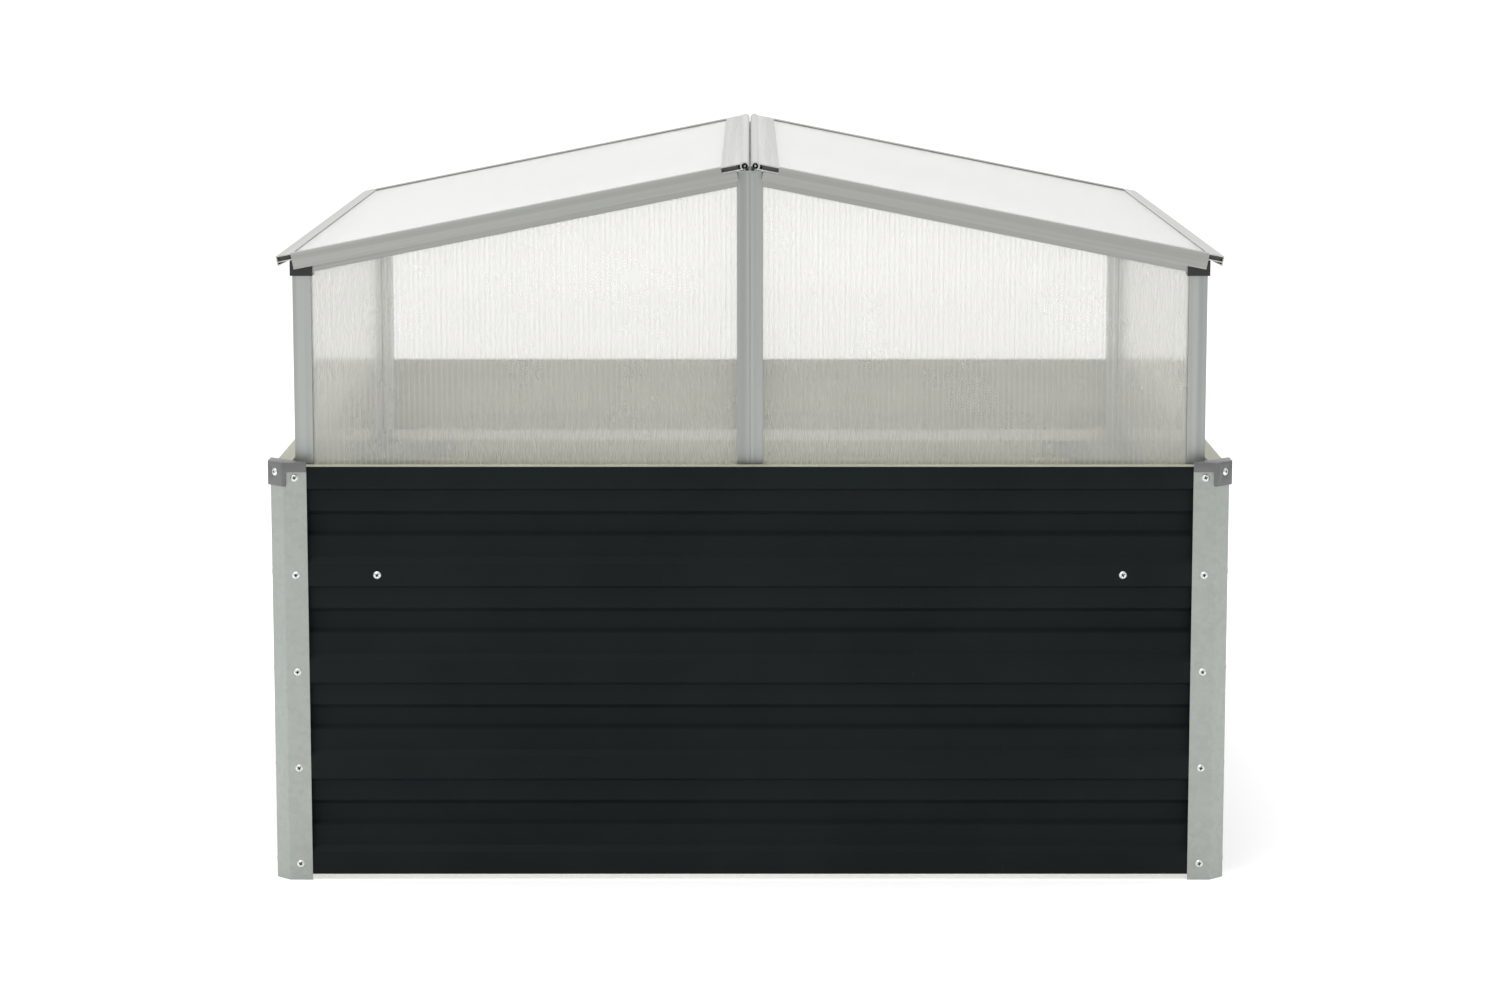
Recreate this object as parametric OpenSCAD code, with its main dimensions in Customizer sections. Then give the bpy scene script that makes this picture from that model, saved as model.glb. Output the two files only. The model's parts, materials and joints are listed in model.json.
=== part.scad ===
// Cold frame: a square corrugated steel raised bed that carries an aluminium
// and twin-wall polycarbonate gable top with two lids hinged at the ridge.
// Origin: centre of the bed at ground level. +X right, +Y back, +Z up. Millimetres.

/* [Bed] */
// Width of the bed over its corner posts
bed_w = 1000; // [800:1:1500]
// Depth of the bed over its corner posts
bed_d = 1000; // [800:1:1500]
// Height of the bed to the top of its corner caps
bed_h = 444.5; // [360:0.5:600]
// Height of the wall sheets' lower edge above the ground
wall_bottom = 6; // [2:0.5:15]

/* [Wall sheets] */
// Thickness of the corrugated wall sheet
wall_t = 0.8; // [0.5:0.1:1]
// Number of corrugations from bottom to top
wall_ribs = 4; // [3:1:5]
// Height of each outermost flat of the corrugation
outer_flat = 23; // [21:0.5:28]
// Height of each innermost flat
deep_flat = 17; // [10:0.5:20]
// Depth of the half-way flats behind the outer flats
mid_depth = 6; // [3:0.5:7]
// Depth of the innermost flats behind the outer flats
full_depth = 12; // [8:0.5:13]
// Height of the slope above each outer flat
lower_slope = 7.7; // [3:0.1:8]
// Height of the slope below each outer flat
upper_slope = 3; // [2:0.1:4]
// Height of the slopes beside each innermost flat
mid_slope = 5; // [3:0.1:6]
// Width of the flange folded inward along the top
fold_w = 18; // [12:0.5:20]

/* [Corner posts and caps] */
// Thickness of the folded post sheet
post_t = 1.2; // [0.8:0.1:2]
// Width of a post along each wall, from the bed's corner
post_w = 39; // [36:0.5:60]
// Size of the chamfer down the outer corner
post_chamfer = 15; // [12:0.5:18]
// Height of the post above the wall sheet's top
post_rise = 2.2; // [1:0.1:5]
// Thickness of the cap's top plate
cap_top_t = 2.5; // [1.5:0.1:4]
// Thickness of the cap's skirt
cap_t = 2.3; // [1.5:0.1:3]
// Clearance between the cap's skirt and the post
cap_gap = 0.3; // [0.1:0.1:0.5]
// Height of the skirt along the post's flanges
cap_skirt_h = 10; // [6:0.5:12]
// Height of the skirt over the post's chamfer
cap_tab_h = 25; // [18:0.5:30]
// Distance that the tall skirt wraps past the chamfer
cap_wrap = 2.5; // [1:0.5:4]
// Distance of the cap screw below the cap's top
cap_screw_drop = 10.5; // [8:0.5:13]

/* [Screws and nuts] */
// Radius of the screw shanks
screw_r = 2.4; // [2:0.1:2.5]
// Radius of the dome heads
head_r = 4; // [3.5:0.1:4.5]
// Height of the dome heads
head_h = 2.2; // [1.5:0.1:3]
// Radial clearance of the holes round the screws
hole_gap = 0.35; // [0.2:0.05:0.5]
// Radial clearance of the nuts on the screws
nut_gap = 0.05; // [0.02:0.01:0.1]
// Radius of the nuts over their corners
nut_r = 4.6; // [4:0.1:5]
// Height of the nuts
nut_h = 4; // [3:0.1:5]
// Length of screw that stands past its nut
screw_tail = 1; // [0:0.1:2]
// Distance of the post screws from the bed's corner
screw_in = 26.5; // [24:0.5:30]

/* [Corner braces] */
// Distance of the brace bolts from the bed's corner
brace_reach = 111; // [90:1:140]
// Half length of the brace's bolted tabs
tab_half = 12; // [8:0.5:16]
// Height of the bolted tabs
tab_h = 20; // [14:0.5:21]
// Thickness of the brace sheet
brace_t = 2; // [1.5:0.1:3]
// Height of the diagonal face
brace_h = 28; // [22:0.5:34]
// Width of the ledge that the cold frame rests on
ledge_w = 28; // [20:0.5:32]
// Height of the ledge's top above the bolts
ledge_rise = 12.4; // [11.5:0.1:13]
// Distance of the ledge and the tall face from the walls' outer plane
brace_clear = 16; // [14.5:0.5:20]

/* [Cold frame] */
// Distance from the bed's outside to the cold frame's outside
frame_inset = 25; // [23:0.5:40]
// Height of the corner uprights
upright_h = 298.5; // [220:0.5:400]
// Side of the square corner uprights
upright_w = 19; // [18:0.5:25]
// Width of the centre uprights
centre_w = 27; // [26:0.5:32]
// Wall thickness of the frame extrusions
frame_t = 1.5; // [1.2:0.1:1.7]
// Depth of the sheet slots in the frame
slot_depth = 10; // [8:0.5:10]
// Depth of the sheet slots in the centre uprights
centre_slot = 8; // [6:0.5:8]
// Depth of the frame rails from outside to inside
rail_d = 12; // [11.5:0.1:14]
// Height of the gable and eave rails
rail_h = 16; // [14:0.5:20]
// Height of the sills
sill_h = 14; // [13:0.5:18]
// Distance that the eave rails start below the uprights' tops
eave_drop = 2; // [1:0.5:3]
// Slope of the roof
roof_pitch = 11.3; // [8:0.1:15]
// Width of the corner connectors past the uprights' outer faces
connector_out = 2.3; // [1:0.1:2.4]
// Width of the corner connectors past the uprights' inner faces
connector_in = 2; // [1:0.1:3]
// Length of the connectors' spigots
spigot_l = 15; // [10:0.5:25]
// Clearance round the spigots
spigot_gap = 0.3; // [0.2:0.05:0.5]

/* [Twin-wall sheets] */
// Thickness of the polycarbonate sheets
sheet_t = 4; // [3.5:0.1:4.2]
// Thickness of the sheets' two skins
sheet_skin = 0.5; // [0.3:0.05:0.8]
// Thickness of the ribs between the skins
sheet_rib = 0.5; // [0.3:0.05:0.8]
// Spacing of the ribs
rib_pitch = 5.7; // [5:0.1:8]
// Clearance on each face of a sheet in its slot
slot_gap = 0.3; // [0.2:0.05:0.5]
// Clearance between a sheet's edge and the bottom of its slot
edge_gap = 0.5; // [0.3:0.1:1]

/* [Lids and hinges] */
// Distance of each hinge axis from the ridge's centre line
hinge_x = 5.5; // [5.3:0.1:6.5]
// Radius of the ridge beam's hinge beads
bead_r = 3.2; // [2.8:0.1:3.4]
// Clearance between the beads and the lids' knuckles
bead_gap = 0.1; // [0.05:0.01:0.15]
// Wall thickness of the lids' knuckles
knuckle_t = 1.5; // [1.2:0.1:1.6]
// Width of the necks that carry the beads
neck_w = 1.6; // [1.2:0.1:2]
// Thickness of the ridge beam's top plate
ridge_plate_t = 2; // [1.5:0.1:3]
// Half width of the ridge beam's top plate
ridge_plate_half = 12; // [9:0.5:12]
// Width of the ridge beam's box
ridge_box_w = 16; // [10:0.5:20]
// Height of the ridge beam's box
ridge_box_h = 14; // [10:0.5:20]
// Wall thickness of the lid extrusions
lid_skin = 1.2; // [1:0.1:1.4]
// Height of the lids' sheet slot below the hinge axis
lid_floor = 2.1; // [1.9:0.1:2.5]
// Gap between a closed lid and the gable rails
lid_rest_gap = 0.3; // [0.2:0.1:1]
// Length of the hinge rails down the slope
hinge_rail_l = 24.5; // [20:0.5:35]
// Distance from the hinge axis to the lids' lower edge
lid_length_extra = 16; // [14:0.5:25]
// Length of the eave rails' top down the slope
lid_eave_l = 15.6; // [14:0.1:24]
// Height of the drip lip below the eave rails
drip_h = 3.2; // [2:0.1:5]
// Thickness of the end rails' skirts
skirt_t = 1.7; // [1.2:0.1:2.5]
// Gap between the skirts and the gable rails
skirt_gap = 2.8; // [2.6:0.1:4]
// Depth of the skirts below the hinge axis
skirt_drop = 13.3; // [10:0.1:15]
// Width of the end rails' top over the sheet
rake_lap = 12; // [10:0.5:18]
// Width of the end rails' lower flange inside the gable
rake_flange = 23; // [22:0.5:28]

/* [Prop stays] */
// Angle at which the stays hold the lids
prop_angle = 40; // [25:1:50]
// Distance of a stay's pivot from its hinge axis
stay_u = 430; // [300:1:440]
// Distance of a stay's pivot below the hinge axis's plane
stay_drop = 10; // [9:0.5:12]
// Width of the stays
stay_w = 12; // [10:0.5:14]
// Thickness of the stays
stay_t = 3; // [2:0.5:4]
// Radius of the pivot studs and pegs
stud_r = 2.5; // [2:0.1:3]
// Radius of the heads on the studs and pegs
stud_head_r = 4.5; // [4:0.1:5.5]
// Thickness of those heads and of the pivot brackets
stud_head_t = 1.5; // [1:0.1:2]
// Radial clearance of a stay's hole round its stud
pivot_gap = 0.1; // [0.05:0.01:0.1]
// Side gap between a stay and its neighbours
stay_gap = 0.5; // [0.3:0.1:1]
// Radial clearance of a stay's setting holes round its peg
setting_gap = 0.6; // [0.3:0.1:1]
// Number of setting holes in a stay
setting_count = 4; // [1:1:6]
// Spacing of the setting holes
setting_pitch = 28; // [20:1:40]
// Height of the pegs above the uprights' lower ends
peg_rise = 262; // [150:1:270]

/* [Hidden] */
$fn = 48;
// Distance that cuts run past the faces they open
cut_over = 1;

// Bed
cap_bottom = bed_h - cap_top_t;
post_h = cap_bottom;
wall_top = post_h - post_rise;
wall_pitch = (wall_top - wall_bottom - outer_flat) / wall_ribs;
side_flat = (wall_pitch - outer_flat - deep_flat - lower_slope - upper_slope - 2 * mid_slope) / 2;
wall_seat = post_t + wall_t;
wall_end_gap = 2;
wall_end = post_t + full_depth + wall_t + wall_end_gap;
fold_end = post_t + fold_w + wall_t;
screw_rows = [for (i = [0:wall_ribs]) wall_bottom + outer_flat / 2 + i * wall_pitch];
hole_r = screw_r + hole_gap;
post_grip = wall_seat + nut_h + screw_tail;
cap_grip = cap_t + cap_gap + post_t + nut_h + screw_tail;
brace_grip = wall_t + brace_t + nut_h + screw_tail;

// Braces
brace_z = screw_rows[wall_ribs - 1];
ledge_top = brace_z + ledge_rise;
brace_line = brace_reach - tab_half + wall_seat;

// Cold frame
frame_w = bed_w - 2 * frame_inset;
frame_d = bed_d - 2 * frame_inset;
frame_z = ledge_top;
slot_w = sheet_t + 2 * slot_gap;
core_in = 2 * frame_t + slot_w;
upright_top = frame_z + upright_h;
rail_drop = lid_floor + lid_skin + lid_rest_gap;
hinge_z = upright_top + (rail_drop + rail_h) / cos(roof_pitch) + (frame_w / 2 - hinge_x) * tan(roof_pitch);
knuckle_r = bead_r + bead_gap + knuckle_t;
// Depth of the lids' lower flanges below the hinge axis, over the ridge plate's edges
flange_fall = (ridge_plate_half - hinge_x) * tan(roof_pitch) + (lid_floor + lid_skin) / cos(roof_pitch);
ridge_plate_top = hinge_z - max(knuckle_r, flange_fall) - lid_rest_gap / 3;
centre_top = ridge_plate_top - ridge_plate_t;
eave_z = upright_top - eave_drop;
connector_face = upright_w + connector_in;
spigot_w = rail_d - 3 * frame_t - slot_w - 2 * spigot_gap;
centre_face_fall = 0.6;
centre_groove = 1;

// Sheets
sheet_v = frame_t + slot_gap;
sheet_end = upright_w - slot_depth + edge_gap;
sheet_z = frame_z + sill_h - slot_depth;

// Lids
lid_slot_top = slot_w - lid_floor;
lid_top = lid_slot_top + lid_skin;
lid_bottom = -lid_floor - lid_skin;
lid_length = (frame_w / 2 - hinge_x) / cos(roof_pitch) + lid_length_extra;
eave_start = lid_length - lid_eave_l;
skirt_in = frame_d / 2 + skirt_gap;
lid_half = skirt_in + skirt_t;
knuckle_clear = 2.5;
lid_sheet_start = knuckle_r + knuckle_clear;
lid_sheet_half = skirt_in - 3 * edge_gap;
centre_clear = 1;
skirt_start = (centre_w / 2 + centre_clear - hinge_x) / cos(roof_pitch);
bevel_run = 2.4;
bevel_fall = 0.8;
// The knuckles are open from below the bead round to the ridge side
knuckle_open_from = 180 + roof_pitch;
knuckle_open_to = 290 + roof_pitch;

// Stays: the bracket, then the stay, then the stud's head, going inward
stay_bracket_y = frame_d / 2 - rake_flange;
stay_y = stay_bracket_y - stay_gap - stay_t;
stud_head_y = stay_y - stay_gap - stud_head_t;
peg_x = frame_w / 2 - (core_in + upright_w - frame_t) / 2;
peg_z = frame_z + peg_rise;
pivot_radius = norm([stay_u, stay_drop]);
pivot_open = prop_angle - roof_pitch - atan(stay_drop / stay_u);
pivot_open_x = hinge_x + pivot_radius * cos(pivot_open);
pivot_open_z = hinge_z + pivot_radius * sin(pivot_open);
stay_l = norm([pivot_open_x - peg_x, pivot_open_z - peg_z]);

wall_colour = "#1e2426";
steel_colour = "#b4b9b2";
cap_colour = "#6a686a";
alloy_colour = "#b9bfc0";
lid_colour = "#c4c4bf";
sheet_colour = "#eceee9";
plastic_colour = "#161616";
zinc_colour = "#c8ccc9";

// ---------------------------------------------------------------- helpers

function unit(v) = v / norm(v);
function left_normal(v) = [-v[1], v[0]];

// Point i of a path moved sideways by t, mitred at its bends
function mitred(path, i, t) =
    let (
        last = len(path) - 1,
        before = left_normal(unit(path[max(i, 1)] - path[max(i, 1) - 1])),
        after = left_normal(unit(path[min(i + 1, last)] - path[min(i, last - 1)])),
        middle = unit(before + after)
    )
    path[i] + middle * t / (middle * before);

// Outline of a folded sheet: the path, and the path moved t to its left
function folded(path, t) = concat(path, [for (i = [len(path) - 1:-1:0]) mitred(path, i, t)]);

// Extrudes a (y, z) outline along X, centred
module along_x(length) rotate([90, 0, 90]) linear_extrude(length, center = true) children();

// Extrudes an (x, z) outline along Y, centred
module along_y(length) rotate([90, 0, 0]) linear_extrude(length, center = true) children();

// Mirrors left to right where side is negative
module on_side(side) mirror([side < 0 ? 1 : 0, 0, 0]) children();

// Mirrors front to back where end is positive, so that children are drawn at the front
module on_end(end) mirror([0, end > 0 ? 1 : 0, 0]) children();

// A corner of a w by d plan: +X and +Y run inward along its two sides
module at_corner(side, end, w, d)
    mirror([side > 0 ? 1 : 0, 0, 0]) mirror([0, end > 0 ? 1 : 0, 0])
        translate([-w / 2, -d / 2, 0]) children();

module at_bed_corners()
    for (side = [-1, 1], end = [-1, 1]) at_corner(side, end, bed_w, bed_d) children();

// Turns +Z to point out of the front wall, and out of the side wall
module facing_front() rotate([90, 0, 0]) children();
module facing_side() rotate([0, -90, 0]) children();

// The lid's own frame: +X down the slope from the hinge axis, +Z out of the roof
module in_lid(side) on_side(side) translate([hinge_x, 0, hinge_z]) rotate([0, roof_pitch, 0]) children();

// ------------------------------------------------------------- fasteners

// Dome-headed screw: its head stands on z = 0 and its shank runs down
module dome_screw(grip) {
    dome_r = (head_r * head_r + head_h * head_h) / (2 * head_h);
    intersection() {
        translate([0, 0, head_h - dome_r]) sphere(dome_r);
        cylinder(r = head_r, h = head_h);
    }
    translate([0, 0, -grip]) cylinder(r = screw_r, h = grip);
}

// Hexagon nut that hangs below z = 0
module hex_nut() translate([0, 0, -nut_h]) difference() {
    cylinder(r = nut_r, h = nut_h, $fn = 6);
    translate([0, 0, -cut_over]) cylinder(r = screw_r + nut_gap, h = nut_h + 2 * cut_over);
}

module screw_hole(depth) translate([0, 0, -depth]) cylinder(r = hole_r, h = 2 * depth);

// Both flanges of one corner post, depth behind its outer faces, at every screw row
module at_flange_screws(depth) {
    for (z = screw_rows) {
        translate([screw_in, depth, z]) facing_front() children();
        translate([depth, screw_in, z]) facing_side() children();
    }
}

// The cap screw's place on the chamfer, depth behind the post's outer face
module at_cap_screw(depth) {
    inward = post_chamfer / 2 + depth / sqrt(2);
    translate([inward, inward, bed_h - cap_screw_drop]) rotate([90, 0, -45]) children();
}

// The brace bolts' places on the two walls of one corner, depth behind the walls' outer planes
module at_brace_bolts(depth) {
    translate([brace_reach, depth, brace_z]) facing_front() children();
    translate([depth, brace_reach, brace_z]) facing_side() children();
}

module post_screws() color(zinc_colour) at_bed_corners() {
    at_flange_screws(0) dome_screw(post_grip);
    at_cap_screw(-cap_gap - cap_t) dome_screw(cap_grip);
}

module post_nuts() color(zinc_colour) at_bed_corners() {
    at_flange_screws(wall_seat) hex_nut();
    at_cap_screw(post_t) hex_nut();
}

module brace_bolts() color(zinc_colour) at_bed_corners()
    at_brace_bolts(post_t) dome_screw(brace_grip);

module brace_nuts() color(zinc_colour) at_bed_corners()
    at_brace_bolts(wall_seat + brace_t) hex_nut();

// ------------------------------------------------------------------- bed

// One corrugation, going up from the top of the outer flat at height z
function corrugation(z) =
    let (
        mid = post_t + mid_depth,
        deep = post_t + full_depth,
        mid_low = z + lower_slope,
        deep_low = mid_low + side_flat + mid_slope,
        mid_high = deep_low + deep_flat + mid_slope
    )
    [
        [mid, mid_low], [mid, mid_low + side_flat],
        [deep, deep_low], [deep, deep_low + deep_flat],
        [mid, mid_high], [mid, mid_high + side_flat],
        [post_t, z + wall_pitch - outer_flat], [post_t, z + wall_pitch]
    ];

wall_path = concat(
    [[post_t, wall_bottom], [post_t, wall_bottom + outer_flat]],
    [for (i = [0:wall_ribs - 1], p = corrugation(wall_bottom + outer_flat + i * wall_pitch)) p]
);

// A wall of the given length over the posts, drawn along X with the posts' faces on y = 0
module wall_sheet(length) {
    color(wall_colour) difference() {
        union() {
            along_x(length - 2 * wall_end) polygon(folded(wall_path, -wall_t));
            translate([-length / 2 + fold_end, post_t, wall_top - wall_t])
                cube([length - 2 * fold_end, fold_w, wall_t]);
        }
        for (side = [-1, 1]) {
            for (z = screw_rows)
                translate([side * (length / 2 - screw_in), 0, z])
                    facing_front() screw_hole(wall_seat + cut_over);
            translate([side * (length / 2 - brace_reach), 0, brace_z])
                facing_front() screw_hole(wall_seat + cut_over);
        }
    }
}

module front_wall() translate([0, -bed_d / 2, 0]) wall_sheet(bed_w);
module back_wall() rotate([0, 0, 180]) translate([0, -bed_d / 2, 0]) wall_sheet(bed_w);
module left_wall() rotate([0, 0, -90]) translate([0, -bed_w / 2, 0]) wall_sheet(bed_d);
module right_wall() rotate([0, 0, 90]) translate([0, -bed_w / 2, 0]) wall_sheet(bed_d);

// Folded corner post: two flanges and a chamfer between them
module corner_post(side, end) {
    path = [[0, post_w], [0, post_chamfer], [post_chamfer, 0], [post_w, 0]];
    color(steel_colour) at_corner(side, end, bed_w, bed_d) difference() {
        linear_extrude(post_h) polygon(folded(path, post_t));
        at_flange_screws(0) screw_hole(wall_seat);
        at_cap_screw(0) screw_hole(wall_seat);
    }
}

module front_left_post() corner_post(-1, -1);
module front_right_post() corner_post(1, -1);
module back_left_post() corner_post(-1, 1);
module back_right_post() corner_post(1, 1);

// Corner cap: a three-cornered top plate, a low skirt and a taller tab over the chamfer
module corner_cap(side, end) {
    out = -cap_gap;
    bend = post_chamfer - cap_gap * tan(22.5);
    outer = -cap_gap - cap_t;
    outer_bend = post_chamfer + outer * tan(22.5);
    skirt = [[out, post_w], [out, bend], [bend, out], [post_w, out]];
    tab = [[out, bend + cap_wrap], [out, bend], [bend, out], [bend + cap_wrap, out]];
    plate = [
        [outer, post_w], [outer, outer_bend], [outer_bend, outer],
        [post_w, outer], [post_w, 0], [0, post_w]
    ];
    color(cap_colour) at_corner(side, end, bed_w, bed_d) difference() {
        union() {
            translate([0, 0, cap_bottom]) linear_extrude(cap_top_t) polygon(plate);
            translate([0, 0, bed_h - cap_skirt_h])
                linear_extrude(cap_skirt_h) polygon(folded(skirt, -cap_t));
            translate([0, 0, bed_h - cap_tab_h])
                linear_extrude(cap_tab_h) polygon(folded(tab, -cap_t));
        }
        at_cap_screw(0) screw_hole(cap_gap + 2 * cap_t);
    }
}

module front_left_cap() corner_cap(-1, -1);
module front_right_cap() corner_cap(1, -1);
module back_left_cap() corner_cap(-1, 1);
module back_right_cap() corner_cap(1, 1);

// Corner brace: a diagonal face bolted to both walls, with a ledge towards the corner
module corner_brace(side, end) {
    far = brace_reach + tab_half;
    near = brace_reach - tab_half;
    strap = [[far, wall_seat], [near, wall_seat], [wall_seat, near], [wall_seat, far]];
    face = [[brace_line - brace_clear, brace_clear], [brace_clear, brace_line - brace_clear]];
    ledge_line = brace_line - ledge_w * sqrt(2);
    ledge = [
        [brace_line - brace_clear, brace_clear], [brace_clear, brace_line - brace_clear],
        [brace_clear, ledge_line - brace_clear], [ledge_line - brace_clear, brace_clear]
    ];
    color(steel_colour) at_corner(side, end, bed_w, bed_d) difference() {
        union() {
            translate([0, 0, brace_z - tab_h / 2])
                linear_extrude(tab_h) polygon(folded(strap, -brace_t));
            translate([0, 0, ledge_top - brace_h])
                linear_extrude(brace_h) polygon(folded(face, -brace_t));
            translate([0, 0, ledge_top - brace_t]) linear_extrude(brace_t) polygon(ledge);
        }
        at_brace_bolts(wall_seat) screw_hole(wall_seat + brace_t);
    }
}

module front_left_brace() corner_brace(-1, -1);
module front_right_brace() corner_brace(1, -1);
module back_left_brace() corner_brace(-1, 1);
module back_right_brace() corner_brace(1, 1);

// ------------------------------------------------------------ cold frame

// Corner upright: a square extrusion with a sheet slot in each inner side and a hollow core
module corner_upright(side, end) {
    color(alloy_colour) at_corner(side, end, frame_w, frame_d) translate([0, 0, frame_z])
        linear_extrude(upright_h) difference() {
            square(upright_w);
            translate([upright_w - slot_depth, frame_t]) square([slot_depth + cut_over, slot_w]);
            translate([frame_t, upright_w - slot_depth]) square([slot_w, slot_depth + cut_over]);
            translate([core_in, core_in]) square(upright_w - core_in - frame_t);
        }
}

module front_left_upright() corner_upright(-1, -1);
module front_right_upright() corner_upright(1, -1);
module back_left_upright() corner_upright(-1, 1);
module back_right_upright() corner_upright(1, 1);

// Centre upright: slots left and right, and a face that falls away from a middle groove
module centre_upright(end) {
    half = centre_w / 2;
    core = half - centre_slot - frame_t;
    face = [
        [-half, centre_face_fall], [-centre_groove / 2, 0], [-centre_groove / 2, centre_groove],
        [centre_groove / 2, centre_groove], [centre_groove / 2, 0], [half, centre_face_fall],
        [half, upright_w], [-half, upright_w]
    ];
    color(alloy_colour) on_end(end) translate([0, -frame_d / 2, frame_z])
        linear_extrude(centre_top - frame_z) difference() {
            polygon(face);
            translate([-core, centre_groove + frame_t])
                square([2 * core, upright_w - centre_groove - 2 * frame_t]);
            for (side = [0, 1]) mirror([side, 0]) {
                translate([half - centre_slot, frame_t]) square([centre_slot + cut_over, slot_w]);
                translate([core + frame_t, core_in])
                    square([half - core - 2 * frame_t, upright_w - core_in - frame_t]);
            }
        }
}

module front_centre_upright() centre_upright(-1);
module back_centre_upright() centre_upright(1);

// Section of a rail of height h: a sheet slot open at the top, and a hollow behind it
module rail_section(h) difference() {
    square([rail_d, h]);
    translate([frame_t, h - slot_depth]) square([slot_w, slot_depth + cut_over]);
    translate([core_in, frame_t]) square([rail_d - core_in - frame_t, h - 2 * frame_t]);
}

// Space between the centre upright and the corner connector
module gable_span() translate([centre_w / 2, -frame_d / 2, frame_z])
    cube([frame_w / 2 - connector_face - centre_w / 2, frame_d, hinge_z]);

// Gable rail, parallel to the lid and cut upright at both ends
module gable_rail(side, end) {
    color(alloy_colour) on_end(end) intersection() {
        in_lid(side) translate([frame_w / 4, -frame_d / 2, -rail_drop])
            along_x(frame_w) mirror([0, 1]) rail_section(rail_h);
        on_side(side) gable_span();
    }
}

module front_left_gable_rail() gable_rail(-1, -1);
module front_right_gable_rail() gable_rail(1, -1);
module back_left_gable_rail() gable_rail(-1, 1);
module back_right_gable_rail() gable_rail(1, 1);

// Eave rail along one side, between the connectors
module eave_rail(side) color(alloy_colour) on_side(-side) translate([-frame_w / 2, 0, eave_z + rail_h])
    along_y(frame_d - 2 * connector_face) mirror([0, 1]) rail_section(rail_h);

module left_eave_rail() eave_rail(-1);
module right_eave_rail() eave_rail(1);

// Ridge beam: a plate on the centre uprights, a box between them and two hinge beads
module ridge_beam() color(alloy_colour) {
    along_y(frame_d) {
        translate([-ridge_plate_half, centre_top]) square([2 * ridge_plate_half, ridge_plate_t]);
        for (side = [-1, 1]) translate([side * hinge_x, 0]) {
            translate([0, hinge_z]) circle(bead_r);
            translate([-neck_w / 2, centre_top]) square([neck_w, hinge_z - centre_top]);
        }
    }
    along_y(frame_d - 2 * upright_w) translate([-ridge_box_w / 2, centre_top - ridge_box_h]) difference() {
        square([ridge_box_w, ridge_box_h]);
        translate([frame_t, frame_t]) square([ridge_box_w - 2 * frame_t, ridge_box_h - 2 * frame_t]);
    }
}

// The two sills under one gable, between the uprights
module gable_sills(end) {
    span = frame_w / 2 - upright_w - centre_w / 2;
    color(alloy_colour) on_end(end) for (side = [-1, 1])
        translate([side * (centre_w + span) / 2, -frame_d / 2, frame_z]) along_x(span) rail_section(sill_h);
}

module front_sills() gable_sills(-1);
module back_sills() gable_sills(1);

// The sill under one side sheet
module side_sill(side) color(alloy_colour) on_side(-side) translate([-frame_w / 2, 0, frame_z])
    along_y(frame_d - 2 * upright_w) rail_section(sill_h);

module left_sill() side_sill(-1);
module right_sill() side_sill(1);

// Corner connector: a block with a sloped top, and spigots into the upright and both rails
module corner_connector() {
    size = connector_out + connector_face;
    core = upright_w - core_in - frame_t - 2 * spigot_gap;
    rail_core = rail_h - 2 * frame_t - 2 * spigot_gap;
    in_core = core_in + spigot_gap;
    intersection() {
        translate([-connector_out, -connector_out, upright_top]) cube([size, size, hinge_z - upright_top]);
        translate([frame_w / 2, frame_d / 2, 0]) in_lid(-1)
            translate([0, -frame_d, -frame_w - rail_drop - lid_rest_gap])
                cube([frame_w, 2 * frame_d, frame_w]);
    }
    translate([in_core, in_core, upright_top - spigot_l]) cube([core, core, spigot_l]);
    translate([in_core, connector_face, eave_z + frame_t + spigot_gap])
        cube([spigot_w, spigot_l, rail_core]);
    translate([frame_w / 2, frame_d / 2, 0]) intersection() {
        in_lid(-1) translate([0, -frame_d / 2 + in_core, -rail_drop - frame_t - spigot_gap - rail_core])
            cube([frame_w, spigot_w, rail_core]);
        translate([-frame_w / 2 + connector_face, -frame_d / 2, upright_top])
            cube([spigot_l, rail_d, hinge_z]);
    }
}

module corner_connectors() color(plastic_colour) for (side = [-1, 1], end = [-1, 1])
    at_corner(side, end, frame_w, frame_d) corner_connector();

// ---------------------------------------------------------- twin-wall sheets

// Section of a twin-wall sheet from x = 0 to width: two skins with ribs between them
module twin_wall(width) {
    count = floor((width - sheet_rib) / rib_pitch);
    margin = (width - count * rib_pitch + sheet_rib) / 2;
    difference() {
        square([width, sheet_t]);
        for (i = [0:count - 1]) translate([margin + i * rib_pitch, sheet_skin])
            square([rib_pitch - sheet_rib, sheet_t - 2 * sheet_skin]);
    }
}

// Height of a gable sheet's top edge at distance x from the centre
function gable_sheet_top(x) =
    hinge_z - (x - hinge_x) * tan(roof_pitch)
    - (rail_drop + rail_h - slot_depth + edge_gap) / cos(roof_pitch);

// Gable sheet from the centre upright to a corner upright, notched round the connector
module gable_sheet(side, end) {
    inner = centre_w / 2 - centre_slot + edge_gap;
    outer = frame_w / 2 - sheet_end;
    notch = frame_w / 2 - connector_face - edge_gap;
    notch_top = upright_top - edge_gap;
    outline = [
        [inner, sheet_z], [outer, sheet_z], [outer, notch_top], [notch, notch_top],
        [notch, gable_sheet_top(notch)], [inner, gable_sheet_top(inner)]
    ];
    color(sheet_colour) on_side(side) on_end(end) intersection() {
        translate([inner, -frame_d / 2 + sheet_v, sheet_z])
            linear_extrude(hinge_z - sheet_z) twin_wall(outer - inner);
        translate([0, -frame_d / 2 + sheet_v, 0]) along_y(4 * sheet_t) polygon(outline);
    }
}

module front_left_sheet() gable_sheet(-1, -1);
module front_right_sheet() gable_sheet(1, -1);
module back_left_sheet() gable_sheet(-1, 1);
module back_right_sheet() gable_sheet(1, 1);

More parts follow.
